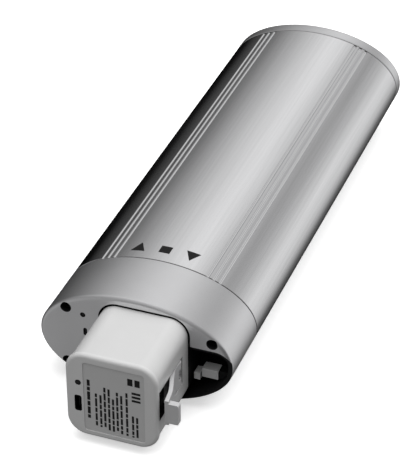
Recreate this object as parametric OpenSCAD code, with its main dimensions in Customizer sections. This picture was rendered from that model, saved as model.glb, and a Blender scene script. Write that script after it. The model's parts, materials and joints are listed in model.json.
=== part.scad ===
// Battery powered shutter motor: an oval extruded housing with a planetary gearmotor at one
// end and a battery pack that slides out of the other.
// Origin: where the spindle's axis meets the drive end face. +Y along the spindle, away from
// the housing, and +Z up with the broad side of the oval lying flat. Millimetres.

/* [Body] */
// Width of the oval housing
body_w = 100; // [100:1:104]
// Height of the oval housing
body_h = 57.2; // [57.2:0.2:59.2]
// Length from the battery end face to the drive end face
body_len = 290; // [290:1:310]
// Wall thickness of the extruded tube
wall = 1.8; // [1.6:0.1:1.8]
// Length of the battery end cap that shows
battery_cap_len = 36; // [35:0.5:38]
// Length of the drive end cap that shows
drive_cap_len = 9.4; // [9.2:0.1:10]
// Distance between neighbouring fine grooves on the tube
groove_pitch = 3.2; // [3:0.1:3.3]

/* [Battery pack] */
// Width of the battery pack
pack_w = 46.5; // [46:0.1:46.5]
// Height of the battery pack
pack_h = 48; // [47.6:0.1:48]
// Length of the battery pack
pack_len = 96; // [96:0.5:98]
// How far the pack is drawn out of the end cap
pack_out = 41.3; // [30:0.1:50]
// Distance of the pack's centre from the middle of the housing
pack_x = 5; // [4.8:0.1:5]

/* [Drive] */
// Diameter of the output spindle
spindle_d = 12; // [10:0.5:12]
// Length of the output spindle outside the housing
spindle_len = 20; // [16:1:30]
// Depth of the flat on the output spindle
spindle_flat = 1.2; // [0.8:0.1:1.2]
// Gear module of both planetary stages
gear_module = 0.75; // [0.75]
// Half the thickness taken off each gear tooth for backlash
tooth_relief = 0.07; // [0.06:0.01:0.1]

/* [Hidden] */
$fn = 48;

front = -body_len;                       // battery end face
cap_seam = front + battery_cap_len;      // battery cap meets tube
drive_seam = -drive_cap_len;             // drive cap meets tube
pack_front = front - pack_out;           // front face of the battery pack
fit = 0.15;                              // gap between parts that plug together
slide_gap = 0.4;                         // gap round the sliding pack
gasket = 0.5;                            // thickness of the seal at each seam
spigot_wall = 1.4;
oval_sides = 96;
edge_r = 2.2;                            // rounding of the end faces' edges
cap_face = 3;                            // thickness of the battery cap's face
sleeve = 1.3;                            // wall of the battery bay

// Screws that hold the end caps, two at each side; the battery cap has no lower right one
left_screw = [35.6, 16.2];
right_screw = [39.8, 13.1];
all_screws = [
    [-left_screw.x, left_screw.y], [-left_screw.x, -left_screw.y],
    [right_screw.x, right_screw.y], [right_screw.x, -right_screw.y]
];
battery_cap_screws_at = [all_screws[0], all_screws[1], all_screws[2]];
screw_head_r = 2.4;
screw_shank_r = 1.3;
recess_r = 2.6;
boss_r = 3.4;

// Features of the battery end face, as [x, z]
lens_at = [-26.7, 13.8];
button_at = [-25.7, 3.9];
button_size = [1.7, 4.2];

// Pocket beside the pack
well_left = 24;
well_top = 9;
well_corner = 9;
well_wall = 1.3;
well_depth = 24;
well_rim = 0.7;                          // thickness of the cap's skin round the pocket
well_lip = 1.4;                          // length of the pocket's lip, which covers that skin's edge

// Pack features
pack_corner = 10;
pack_wall = 1.8;
shell_step = 0.7;                        // the shell is this much smaller than its covers all round
cover_len = 2.4;
rear_cover_len = 4;
tongue = 1.3;                            // inner side of the covers' rims, inside the shell's wall
lever_back = 31;                         // from the pack's front to the release lever's pivot
lever_y = pack_front + lever_back;
lever_x = pack_x + pack_w / 2 - 1.85;
lever_half = 7;
lever_eye_r = 1.6;
lever_pin_r = 0.8;
port_at = [-12, -5.2];
port_size = [3.6, 9.2];
charge_lens_at = [-11.7, 7.1];
panel_at = [6.3, -0.5];                  // recess for the label
panel_size = [30.8, 40];
cell_r = 9.2;
cell_len = 65;
cell_pitch = 19.6;
cell_start = pack_front + 18;
cell_x = pack_x - 0.4;

// Planetary stages
sun_teeth = 12;
planet_teeth = 18;
ring_teeth = sun_teeth + 2 * planet_teeth;
planet_orbit = (sun_teeth + planet_teeth) / 2 * gear_module;
addendum = 0.9 * gear_module;
dedendum = 1.1 * gear_module;
pressure_angle = 20;
gear_w = 8;
pin_r = 1.5;
gearbox_r = 23;
carrier_r = 15.5;
journal_r = spindle_d / 2 + 1;
sun_hub_r = 3;
stage2_y = -30.6;                        // battery side face of the stage 2 planets
stage1_y = -43.8;                        // battery side face of the stage 1 planets
carrier1_y = stage1_y + gear_w + 0.6;    // battery side face of the stage 1 carrier
carrier1_len = 4;
carrier2_y = stage2_y + gear_w + 0.6;    // battery side face of the stage 2 carrier
carrier2_len = 4.4;
ring_end = -46;                          // battery side face of the ring gear
gearbox_end = -17;                       // drive side face of the ring gear
plate_len = 4;
motor_front = ring_end - plate_len;
motor_r = 19;
motor_len = 78;
motor_back = motor_front - motor_len;
shaft_r = 2;
motor_screw_z = 12.5;
damper_wall = 2.1;
cap_bore_r = 13;                         // opening of the drive end cap round the bearings
bulkhead_y = [-112, -106];
bearing_r = 11;
bearing_len = 4.8;
running = 0.04;                          // radial gap of a shaft in its bearing

// ---------- helpers ----------

// Extrudes a shape drawn in X and Z from y0 to y1
module span(y0, y1) {
    translate([0, y1, 0]) rotate([90, 0, 0]) linear_extrude(height = y1 - y0) children();
}

// Round bar along Y, centred on [x, z]
module bar(r, y0, y1, at = [0, 0]) {
    translate([at.x, y1, at.y]) rotate([90, 0, 0]) cylinder(r = r, h = y1 - y0);
}

// Box given by its ranges
module block(x0, x1, y0, y1, z0, z1) {
    translate([x0, y0, z0]) cube([x1 - x0, y1 - y0, z1 - z0]);
}

// Oval housing section, drawn in by inset
module oval(inset = 0) {
    a = body_w / 2 - inset;
    b = body_h / 2 - inset;
    polygon([for (i = [0 : oval_sides - 1])
        let (t = 360 * i / oval_sides) [a * cos(t), b * sin(t)]]);
}

// Rounded rectangle centred on the origin
module rounded(w, h, r) {
    steps = 8;
    polygon([for (q = [0 : 3], i = [0 : steps])
        let (t = 90 * (q + i / steps),
             cx = (q == 0 || q == 3 ? 1 : -1) * (w / 2 - r),
             cz = (q < 2 ? 1 : -1) * (h / 2 - r))
        [cx + r * cos(t), cz + r * sin(t)]]);
}

module pack_section(grow = 0) {
    translate([pack_x, 0]) rounded(pack_w + 2 * grow, pack_h + 2 * grow, pack_corner + grow);
}

// Oval bar from the origin to +Y, its end at the origin with a rounded edge
module rounded_oval_bar(length) {
    hull() {
        for (t = [30 : 30 : 90])
            span(edge_r * (1 - sin(t)), edge_r) oval(edge_r * (1 - cos(t)));
        span(edge_r, length) oval();
    }
}

// Region right of the pack and under the pocket's top edge, drawn in by inset
module well_region(inset = 0) {
    reach = body_w / 2 + 0.2 - well_left;
    intersection() {
        translate([well_left, well_top - body_h])
            rounded(2 * (reach - inset), 2 * (body_h - inset), well_corner - inset);
        translate([well_left, -body_h]) square([body_w, 2 * body_h]);
    }
}

// The pocket's outline on the battery end face, drawn in by inset
module well_outline(inset = 0) {
    intersection() {
        well_region(inset);
        oval(well_rim + inset);
    }
}

// Ring on an end cap that plugs into the tube, cut away round the tube's screw ports
module spigot(y0, y1) {
    span(y0, y1) difference() {
        oval(wall + fit);
        oval(wall + fit + spigot_wall);
        for (s = all_screws) translate(s) circle(r = boss_r);
    }
}

// Cylinder head screw, head towards +Y (way 1) or -Y (way -1), head's outer face at y
module screw(at, y, way, length, head_r, shank_r, head_len) {
    socket_r = head_r * 0.5;
    far = y - way * (head_len + length);
    mid = y - way * head_len;
    difference() {
        union() {
            bar(head_r, min(y, mid), max(y, mid), at);
            bar(shank_r, min(far, mid), max(far, mid), at);
        }
        translate([at.x, y - way * head_len * 0.3, at.y]) rotate([90, 0, 0])
            cylinder(r = socket_r, h = head_len * 0.6 + 0.1, center = true, $fn = 6);
    }
}

// Involute function, in degrees
function involute(a) = tan(a) * 180 / PI - a;

// Outline of an external gear with a tooth on +X; relief is taken off each flank
function gear_outline(teeth, add, ded, relief) =
    let (pitch_r = teeth * gear_module / 2,
         base_r = pitch_r * cos(pressure_angle),
         tip_r = pitch_r + add,
         root_r = pitch_r - ded,
         start_r = max(base_r, root_r),
         steps = 4,
         half = 90 / teeth + involute(pressure_angle) - relief / pitch_r * 180 / PI)
    [for (tooth = [0 : teeth - 1], side = [-1, 1], k = [0 : steps + 1])
        let (step = side < 0 ? k : steps + 1 - k,
             r = step == 0 ? root_r : start_r + (tip_r - start_r) * (step - 1) / steps,
             on_flank = max(r, start_r),
             angle = 360 * tooth / teeth
                   + side * (half - involute(acos(min(1, base_r / on_flank)))))
        [r * cos(angle), r * sin(angle)]];

module gear(teeth, turn, y, length) {
    span(y, y + length) rotate(turn)
        polygon(gear_outline(teeth, addendum, dedendum, tooth_relief));
}

// Places children at the three planets' axes, which point along +X, then each third of a turn
module at_planet(k) {
    rotate([0, -120 * k, 0]) translate([planet_orbit, 0, 0]) children();
}

// Round tube of radius r swept along points by parallel rings
function unit(v) = v / norm(v);
function path_dir(p, i) =
    i == 0 ? unit(p[1] - p[0])
    : i == len(p) - 1 ? unit(p[i] - p[i - 1])
    : unit(unit(p[i + 1] - p[i]) + unit(p[i] - p[i - 1]));
module tube_along(p, r, sides = 8) {
    up = [0, 0, 1];
    rings = [for (i = [0 : len(p) - 1])
        let (d = path_dir(p, i), side = unit(cross(d, up)), top = cross(side, d))
        for (s = [0 : sides - 1])
            let (t = 360 * s / sides) p[i] + r * (cos(t) * side + sin(t) * top)];
    last = (len(p) - 1) * sides;
    polyhedron(rings, concat(
        [[for (s = [0 : sides - 1]) s]],
        [for (i = [0 : len(p) - 2], s = [0 : sides - 1])
            let (a = i * sides + s, b = i * sides + (s + 1) % sides)
            [a, a + sides, b + sides, b]],
        [[for (s = [sides - 1 : -1 : 0]) last + s]]));
}

// ---------- housing ----------

// Three scooped grooves at each side of the middle, above and below
module grooves() {
    groove_r = 0.9;
    first = 24.4;
    for (k = [0 : 2], sx = [-1, 1], sz = [-1, 1])
        let (x = first + k * groove_pitch,
             z = body_h / 2 * sqrt(1 - pow(2 * x / body_w, 2)))
        translate([sx * x * 1.007, sz * (z + 0.35)]) circle(r = groove_r, $fn = 24);
}

module body_tube() {
    port_r = 3.1;
    color("silver") span(cap_seam, drive_seam) difference() {
        oval();
        difference() {
            oval(wall);
            for (s = all_screws) translate(s) circle(r = port_r);
        }
        for (s = all_screws) translate(s) circle(r = screw_shank_r + 0.05);
        grooves();
    }
}

module battery_end_cap() {
    shell = 2;
    color([0.72, 0.72, 0.73]) difference() {
        union() {
            difference() {
                translate([0, front, 0]) rounded_oval_bar(battery_cap_len - gasket);
                span(front + cap_face, cap_seam + 1) oval(shell);
            }
            span(cap_seam - 4, cap_seam - gasket) difference() {
                oval(shell - 0.2);
                oval(wall + fit + spigot_wall);
            }
            spigot(cap_seam - gasket - 0.1, cap_seam + 8);
            span(front + 1, cap_seam - gasket) intersection() {
                oval(0.4);
                union() for (s = battery_cap_screws_at) translate(s) circle(r = boss_r);
            }
        }
        span(front - 1, cap_seam + 9) pack_section(slide_gap);
        span(front + cap_face, cap_seam + 9) pack_section(slide_gap + sleeve + 0.1);
        span(front - 1, front + well_depth + 1.6) difference() {
            well_outline();
            translate(right_screw) circle(r = boss_r);
        }
        span(front - 1, front + well_lip + 0.05) well_region();
        for (s = battery_cap_screws_at) {
            bar(recess_r, front - 1, front + 5, s);
            bar(screw_shank_r + 0.3, front, cap_seam + 1, s);
        }
        bar(1.4, front - 1, front + cap_face + 1, lens_at);
        span(front - 1, front + cap_face + 1) translate(button_at)
            rounded(button_size.x + 0.3, button_size.y + 0.3, button_size.x / 2);
    }
}

// Inside of the pocket beside the pack
module well_hollow() {
    well_outline(well_wall);
}

module latch_well() {
    back = 1.5;
    edge = 0.6;                          // the cap's rounded edge starts this far back here
    color([0.05, 0.05, 0.05]) difference() {
        union() {
            span(front + edge, front + well_depth + back) difference() {
                well_outline(0.1);
                pack_section(slide_gap + sleeve + 0.1);
                translate(right_screw) circle(r = boss_r + 0.1);
            }
            intersection() {
                translate([0, front, 0]) rounded_oval_bar(edge_r + 1);
                span(front, front + well_lip) difference() {
                    well_region(0.05);
                    well_outline(well_wall - 0.3);
                    pack_section(slide_gap + sleeve + 0.1);
                }
            }
        }
        span(front - 1, front + well_depth) well_hollow();
    }
}

// Strike that the lever's hook snaps behind, and the guide beside the pack
module latch_strike() {
    top = -7.3;
    bottom = -12.4;
    strike_x = 32.4;
    guide = [28.7, 31.9];
    guide_start = front + 5;
    strike_start = front + 6.2;
    color([0.35, 0.35, 0.36]) {
        span(strike_start, front + 12) intersection() {
            well_hollow();
            translate([strike_x, bottom]) square([20, top - bottom]);
        }
        span(guide_start, front + well_depth) intersection() {
            well_hollow();
            translate([guide[0], bottom - 1.4]) square([guide[1] - guide[0], 4]);
        }
    }
}

module battery_cap_screws() {
    color([0.1, 0.1, 0.1]) for (s = battery_cap_screws_at)
        screw(s, front + 2.4, -1, battery_cap_len + 4, screw_head_r, screw_shank_r, 2.6);
}

module status_lens() {
    color([0.2, 0.2, 0.2]) {
        bar(1.3, front + 0.3, front + 8.8, lens_at);
        bar(2.2, front + 3.1, front + 4.4, lens_at);
    }
}

module program_button() {
    color([0.12, 0.12, 0.12]) translate([button_at.x, 0, button_at.y]) {
        span(front + 0.4, front + 9)
            rounded(button_size.x, button_size.y, button_size.x / 2 - 0.01);
        block(-2, 2, front + 3.8, front + 5, -3.4, 3.4);
    }
}

// Flat seals between each cap and the tube
module cap_gaskets() {
    color([0.1, 0.1, 0.1]) for (y = [cap_seam - gasket, drive_seam])
        span(y, y + gasket) difference() {
            oval(0.35);
            oval(wall);
        }
}

// ---------- battery bay and electronics ----------

bay_end = front + 99;
board_x = [-30.2, -28.6];
board_y = [front + 8, front + 88];
board_half = 17;

module battery_bay() {
    back = 2;
    color([0.16, 0.16, 0.17]) {
        difference() {
            span(front + cap_face + 0.1, bay_end + back) intersection() {
                pack_section(slide_gap + sleeve);
                oval(wall + 0.3);
            }
            span(front, bay_end) pack_section(slide_gap);
            block(well_left - 0.2, body_w, front, front + well_depth + 2, -body_h, body_h);
            block(pack_x - 9, pack_x + 9, bay_end - 1, bay_end + back + 1, -6, 6);
        }
        for (side = [-1, 1])
            block(board_x[0] - 0.6, pack_x - pack_w / 2 - slide_gap - 0.05,
                board_y[0] + 4, board_y[1] - 4,
                side > 0 ? board_half + 0.05 : -board_half - 1.2,
                side > 0 ? board_half + 1.2 : -board_half - 0.05);
    }
}

module contact_block() {
    color([0.08, 0.08, 0.08]) difference() {
        block(pack_x - 13, pack_x + 13, bay_end + 2, bay_end + 8, -8, 8);
        for (k = [-1 : 1]) block(pack_x + 6 * k - 0.5, pack_x + 6 * k + 0.5,
            bay_end, bay_end + 9, -3.1, 3.1);
    }
}

module contact_blades() {
    color("goldenrod") for (k = [-1 : 1])
        block(pack_x + 6 * k - 0.4, pack_x + 6 * k + 0.4, bay_end - 7, bay_end + 11, -3, 3);
}

module control_board() {
    color([0.05, 0.3, 0.15]) difference() {
        block(board_x[0], board_x[1], board_y[0], board_y[1], -board_half, board_half);
        for (y = [board_y[0] + 2, board_y[1] - 2], z = [-14, 14])
            translate([board_x[0] - 1, y, z]) rotate([0, 90, 0]) cylinder(r = 1.1, h = 4);
    }
}

// Part standing on the board's outer (left) face
module outer_part(y, z, ly, lz, high) {
    block(board_x[0] - high, board_x[0], y, y + ly, z, z + lz);
}
// Part on the board's inner (right) face
module inner_part(y, z, ly, lz, high) {
    block(board_x[1], board_x[1] + high, y, y + ly, z, z + lz);
}
module outer_can(y, z, r, high) {
    translate([board_x[0] - high, y, z]) rotate([0, 90, 0]) cylinder(r = r, h = high);
}

module board_components() {
    y0 = board_y[0];
    color([0.2, 0.2, 0.22]) {
        inner_part(y0 + 1.2, lens_at.y - 1.4, 2.8, 2.8, 3.3);
        inner_part(y0 + 24, -6, 10, 10, 1.6);
        inner_part(y0 + 40, -12, 18, 14, 2.6);
        inner_part(y0 + 70, -8, 9, 16, 6);
        for (k = [0 : 3]) inner_part(y0 + 42 + 6 * k, 6, 4, 3, 1.2);
        outer_can(y0 + 34, -7, 5, 10);
        outer_can(y0 + 34, 7, 5, 10);
        outer_can(y0 + 50, 0, 4, 8);
        outer_part(y0 + 58, -9, 12, 12, 5);
        for (k = [0 : 4]) outer_part(y0 + 6 + 4 * k, -5, 2, 3.2, 1.1);
    }
}

module program_switch() {
    color([0.5, 0.5, 0.5]) {
        block(board_x[1], board_x[1] + 5.2, front + 10.3, front + 14,
            button_at.y - 2.6, button_at.y + 2.6);
        bar(1.1, front + 9.6, front + 10.3, [board_x[1] + 2.9, button_at.y]);
    }
}

module antenna_wire() {
    color([0.1, 0.1, 0.1]) tube_along([
        [-30.9, -206, -10], [-31.4, -200, -10], [-34, -190, -8], [-37, -180, -5],
        [-38, -168, -3], [-38, -150, -2], [-38, -125, -2]
    ], 0.6);
}

// ---------- gearmotor ----------

module motor_bulkhead() {
    color([0.16, 0.16, 0.17]) span(bulkhead_y[0], bulkhead_y[1]) difference() {
        oval(wall + 0.25);
        circle(r = motor_r + damper_wall);
        for (s = all_screws) translate(s) circle(r = boss_r);
        for (side = [-1, 1]) translate([side * 33, 0]) circle(r = 6);
    }
}

module motor_damper() {
    color([0.06, 0.06, 0.06]) span(bulkhead_y[0] - 0.8, bulkhead_y[1] + 0.8) difference() {
        circle(r = motor_r + damper_wall);
        circle(r = motor_r);
    }
}

module motor_can() {
    can_wall = 1.5;
    color([0.62, 0.62, 0.64]) difference() {
        bar(motor_r, motor_back, motor_front);
        bar(motor_r - can_wall, motor_back - 1, motor_front - 2);
        bar(5, motor_back, motor_front + 1);
        for (side = [-1, 1]) bar(1.25, motor_front - 3, motor_front + 1, [0, motor_screw_z * side]);
    }
}

module motor_rear_cover() {
    depth = 6;
    color([0.1, 0.1, 0.12]) difference() {
        bar(motor_r, motor_back - depth, motor_back);
        bar(motor_r - 3, motor_back - depth + 4, motor_back + 1);
        bar(5, motor_back - depth - 1, motor_back + 1);
        for (side = [-1, 1]) bar(1, motor_back - 8, motor_back + 1, [side * 11, 0]);
    }
}

module motor_magnets() {
    inner = 13.3;
    color([0.25, 0.25, 0.27]) span(motor_back + 14, motor_front - 10) difference() {
        circle(r = motor_r - 1.5);
        circle(r = inner);
        for (side = [-1, 1]) translate([-4, side > 0 ? 0 : -30]) square([8, 30]);
    }
}

module motor_bearings() {
    color([0.6, 0.45, 0.2]) for (y = [motor_front - 4, motor_back - 5.5]) difference() {
        bar(5, y, y + 4);
        bar(shaft_r + running, y - 1, y + 5);
    }
}

module motor_shaft() {
    color("silver") bar(shaft_r, motor_back - 14, carrier1_y - 1.2);
}

module motor_armature() {
    slots = 5;
    color([0.5, 0.28, 0.12]) {
        span(motor_back + 16, motor_front - 12) difference() {
            circle(r = 12.6);
            circle(r = shaft_r);
            for (k = [0 : slots - 1]) rotate(360 * k / slots) translate([7, -1.1])
                square([7, 2.2]);
        }
        span(motor_back + 4, motor_back + 12) difference() {
            circle(r = 4.6);
            circle(r = shaft_r);
        }
    }
}

module motor_pinion() {
    color([0.75, 0.65, 0.35]) difference() {
        gear(sun_teeth, 180 / sun_teeth, stage1_y - 0.8, gear_w + 0.8);
        bar(shaft_r, stage1_y - 2, 0);
    }
}

module encoder_magnet() {
    color([0.3, 0.3, 0.32]) difference() {
        bar(5, motor_back - 13, motor_back - 10);
        bar(shaft_r, motor_back - 14, motor_back - 9);
    }
}

module encoder_board() {
    color([0.05, 0.3, 0.15]) difference() {
        bar(9, motor_back - 7.6, motor_back - 6);
        bar(3, motor_back - 9, motor_back);
    }
    color([0.2, 0.2, 0.22]) block(4.2, 8, motor_back - 8.8, motor_back - 7.6, -2, 2);
}

module motor_leads() {
    end_y = board_y[0] + 79;
    color([0.5, 0.1, 0.1]) for (side = [-1, 1]) tube_along([
        [side * 11, motor_back - 1, 0], [side * 11, motor_back - 11, 0],
        [side * 10, -143, side], [side * 7 - 3, -150, side * 2.5],
        [side * 3 - 11, -158, side * 5], [-20, -168, side * 5], [-24.6, -180, side * 5],
        [-25.6, -192, side * 5], [-25.6, end_y, side * 5]
    ], 0.9);
}

module motor_plate() {
    color([0.62, 0.62, 0.64]) difference() {
        bar(gearbox_r, motor_front, ring_end);
        bar(6.5, motor_front - 1, ring_end + 1);
        for (side = [-1, 1]) {
            bar(1.3, motor_front - 1, ring_end + 1, [0, motor_screw_z * side]);
            bar(2.2, ring_end - 1.5, ring_end + 1, [0, motor_screw_z * side]);
        }
        for (k = [0 : 3]) bar(1.3, motor_front - 1, ring_end + 1, gearbox_screw_at(k));
    }
}

function gearbox_screw_at(k) = 20.9 * [cos(45 + 90 * k), sin(45 + 90 * k)];

module ring_gear() {
    color([0.85, 0.85, 0.82]) difference() {
        bar(gearbox_r, ring_end, gearbox_end);
        span(ring_end - 1, gearbox_end + 1)
            polygon(gear_outline(ring_teeth, dedendum, addendum, -tooth_relief));
        for (k = [0 : 3]) bar(1.2, ring_end - 1, gearbox_end + 1, gearbox_screw_at(k));
    }
}

module planet(k, y) {
    color([0.85, 0.82, 0.7]) rotate([0, -120 * k, 0]) translate([planet_orbit, 0, 0])
        difference() {
            gear(planet_teeth, 0, y, gear_w);
            bar(pin_r + running, y - 1, y + gear_w + 1);
        }
}

module carrier(y, thick, bore) {
    color([0.7, 0.7, 0.72]) difference() {
        bar(carrier_r, y, y + thick);
        bar(bore, y - 1, y + thick + 1);
        for (k = [0 : 2]) at_planet(k) bar(pin_r, y - 1, y + thick + 1);
    }
}

module pins(y0, y1) {
    color("silver") for (k = [0 : 2]) at_planet(k) bar(pin_r, y0, y1);
}

module stage2_sun() {
    color([0.75, 0.65, 0.35]) {
        gear(sun_teeth, 180 / sun_teeth, carrier1_y + carrier1_len, gear_w + 0.8);
        bar(sun_hub_r, carrier1_y, carrier1_y + carrier1_len);
    }
}

module output_spindle() {
    seat_len = 5;                        // full round seat, before the flat starts
    relief = 0.3;                        // the flatted length is this much smaller in radius
    tapping_r = 2.1;
    tapping_depth = 12;
    color("silver") difference() {
        union() {
            bar(spindle_d / 2, carrier2_y, carrier2_y + carrier2_len);
            bar(journal_r, carrier2_y + carrier2_len, 0);
            bar(spindle_d / 2, 0, seat_len);
            bar(spindle_d / 2 - relief, seat_len, spindle_len);
        }
        block(-spindle_d, spindle_d, seat_len, spindle_len + 1,
            spindle_d / 2 - spindle_flat, spindle_d);
        bar(tapping_r, spindle_len - tapping_depth, spindle_len + 1);
    }
}

module output_bearings() {
    color([0.6, 0.6, 0.62]) for (y = [-16.5, -6]) difference() {
        bar(bearing_r, y, y + bearing_len);
        bar(journal_r + running, y - 1, y + bearing_len + 1);
    }
}

module gearbox_cover() {
    flange = 6;
    step = gearbox_end + flange;
    color([0.62, 0.62, 0.64]) difference() {
        union() {
            bar(gearbox_r, gearbox_end, step);
            bar(cap_bore_r - 0.2, step, -0.6);
        }
        bar(bearing_r, gearbox_end - 1, 1);
        for (k = [0 : 3]) {
            bar(1.2, gearbox_end - 1, step + 1, gearbox_screw_at(k));
            bar(1.25, gearbox_end - 1, step + 1, mount_screw_at(k));
        }
    }
}

function mount_screw_at(k) = 18.4 * [cos(90 * k), sin(90 * k)];

// Through screws of the gearbox, the motor's face screws, and those through the drive cap
module gearbox_screws() {
    color([0.3, 0.3, 0.3]) {
        for (k = [0 : 3]) screw(gearbox_screw_at(k), motor_front - 2.2, -1, 36, 1.85, 1.15, 2.2);
        for (side = [-1, 1]) screw([0, motor_screw_z * side], ring_end - 0.2, 1, 3.8, 2, 1.2, 1.2);
        for (k = [0 : 3]) screw(mount_screw_at(k), -0.3, 1, 13, 2.6, 1.25, 2.3);
    }
}

// ---------- drive end ----------

mount_spacing = [52, 28];
insert_r = 2.8;
inserts_at = [for (sx = [-1, 1], sz = [-1, 1]) [sx * mount_spacing.x / 2, sz * mount_spacing.y / 2]];

module drive_end_cap() {
    plate = 4;
    shell = 2;
    seam = drive_seam + gasket;
    color([0.72, 0.72, 0.73]) difference() {
        union() {
            difference() {
                mirror([0, 1, 0]) rounded_oval_bar(drive_cap_len - gasket);
                span(seam - 1, -plate) oval(shell);
            }
            span(seam, -plate + 0.1) difference() {
                oval(shell - 0.2);
                oval(wall + fit + spigot_wall);
            }
            spigot(drive_seam - 8, seam + 0.1);
            span(seam, -1) intersection() {
                oval(0.4);
                union() for (s = all_screws) translate(s) circle(r = boss_r);
            }
            for (s = inserts_at) bar(insert_r + 1.8, drive_seam - 1, -1, s);
            for (k = [0 : 3]) bar(4, gearbox_end + 6, -1, mount_screw_at(k));
        }
        bar(cap_bore_r, -20, 1);
        for (s = all_screws) {
            bar(recess_r, -3.2, 1, s);
            bar(screw_shank_r + 0.3, -20, 1, s);
        }
        for (s = inserts_at) bar(insert_r, -20, 1, s);
        for (k = [0 : 3]) {
            bar(2.8, -2.7, 1, mount_screw_at(k));
            bar(1.45, -20, 1, mount_screw_at(k));
        }
    }
}

module drive_cap_screws() {
    color([0.1, 0.1, 0.1]) for (s = all_screws)
        screw(s, -0.6, 1, 18, screw_head_r, screw_shank_r, 2.6);
}

module mounting_inserts() {
    color("goldenrod") for (s = inserts_at) difference() {
        bar(insert_r, -9, -0.2, s);
        bar(1.65, -10, 1, s);
    }
}

// ---------- battery pack ----------

module pack_shell() {
    y0 = pack_front + cover_len;
    y1 = pack_front + pack_len - rear_cover_len;
    side = pack_x + pack_w / 2;
    color([0.82, 0.82, 0.82]) difference() {
        union() {
            span(y0, y1) difference() {
                pack_section(-shell_step);
                pack_section(-pack_wall);
            }
            block(side - 4.6, side - 1, y0, lever_y + 4, -lever_half - 2.4, lever_half + 2.4);
        }
        block(side - 3.75, side + 1, y0 - 1, lever_y + 3, -lever_half - 1.2, lever_half + 1.2);
        translate([lever_x, lever_y, 0])
            cylinder(r = lever_pin_r, h = 2 * lever_half + 4.8, center = true);
    }
}

module pack_front_cover() {
    skin = 1.6;
    round_r = 2;
    panel_depth = 0.35;
    color([0.58, 0.58, 0.59]) difference() {
        union() {
            hull() for (t = [0 : 30 : 90])
                let (y = pack_front + round_r * (1 - sin(t)))
                span(y, pack_front + cover_len) pack_section(-round_r * (1 - cos(t)));
            span(pack_front + skin - 0.2, pack_front + cover_len + 4) difference() {
                pack_section(-pack_wall - 0.1);
                pack_section(-pack_wall - tongue);
            }
        }
        span(pack_front + skin, pack_front + cover_len + 5) pack_section(-pack_wall - tongue);
        block(pack_x + pack_w / 2 - 4.7, body_w, pack_front + cover_len, front,
            -lever_half - 2.6, lever_half + 2.6);
        span(pack_front - 1, pack_front + panel_depth) translate(panel_at)
            rounded(panel_size.x, panel_size.y, 1.5);
        span(pack_front - 1, pack_front + 5) translate(port_at)
            rounded(port_size.x, port_size.y, 1);
        bar(1.7, pack_front - 1, pack_front + 5, charge_lens_at);
    }
}

module pack_rear_cover() {
    y1 = pack_front + pack_len;
    color([0.3, 0.3, 0.31]) difference() {
        union() {
            span(y1 - rear_cover_len, y1) pack_section();
            span(y1 - rear_cover_len - 3, y1 - rear_cover_len) difference() {
                pack_section(-pack_wall - 0.1);
                pack_section(-pack_wall - tongue);
            }
        }
        for (k = [-1 : 1]) block(pack_x + 6 * k - 0.9, pack_x + 6 * k + 0.9,
            y1 - rear_cover_len - 1, y1 + 1, -3.6, 3.6);
    }
}

// Springy forks behind the slots of the rear cover
module pack_contacts() {
    y1 = pack_front + pack_len - rear_cover_len;
    color("goldenrod") for (k = [-1 : 1], side = [-1, 1])
        block(pack_x + 6 * k + side * 0.9 - 0.35, pack_x + 6 * k + side * 0.9 + 0.35,
            y1 - 3, y1 - 0.05, -3, 3);
}

module charge_socket() {
    y = pack_front + 0.9;
    color([0.25, 0.25, 0.26]) {
        span(y, y + 7) translate(port_at) difference() {
            rounded(port_size.x - 0.1, port_size.y - 0.1, 1);
            rounded(port_size.x - 0.8, port_size.y - 0.8, 0.7);
        }
        span(y + 6, y + 7) translate(port_at)
            rounded(port_size.x - 0.8, port_size.y - 0.8, 0.7);
        span(y + 0.6, y + 6) translate(port_at) rounded(0.7, port_size.y - 3.4, 0.2);
    }
}

module charge_lens() {
    color([0.15, 0.15, 0.15]) bar(1.65, pack_front + 0.1, pack_front + 7, charge_lens_at);
}

function cells_at() = [for (sx = [-1, 1], sz = [-1, 1])
    [cell_x + sx * cell_pitch / 2, sz * cell_pitch / 2]];

module battery_cells() {
    color([0.25, 0.4, 0.6]) for (s = cells_at()) {
        bar(cell_r, cell_start, cell_start + cell_len - 1, s);
        bar(3.5, cell_start + cell_len - 1, cell_start + cell_len, s);
    }
}

module cell_holders() {
    color([0.1, 0.1, 0.1]) for (y = [cell_start - 1, cell_start + cell_len - 7])
        difference() {
            span(y, y + 8) translate([cell_x, 0])
                rounded(pack_w - 2 * pack_wall - 6.4, pack_h - 2 * pack_wall - 1.6, 7);
            for (s = cells_at()) bar(cell_r, y - 1, y + 9, s);
        }
}

module pack_boards() {
    left = pack_x - pack_w / 2 + pack_wall + 0.4;
    color([0.05, 0.3, 0.15]) {
        block(left, left + 1.2, cell_start + 8, cell_start + 56, -13, 13);
        block(-15.6, 20, pack_front + 11.4, pack_front + 13, -15, 15);
    }
    color([0.2, 0.2, 0.22])
        block(port_at.x - 2.4, port_at.x + 2.4, pack_front + 7.95, pack_front + 11.4,
            port_at.y - 4, port_at.y + 4);
}

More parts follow.
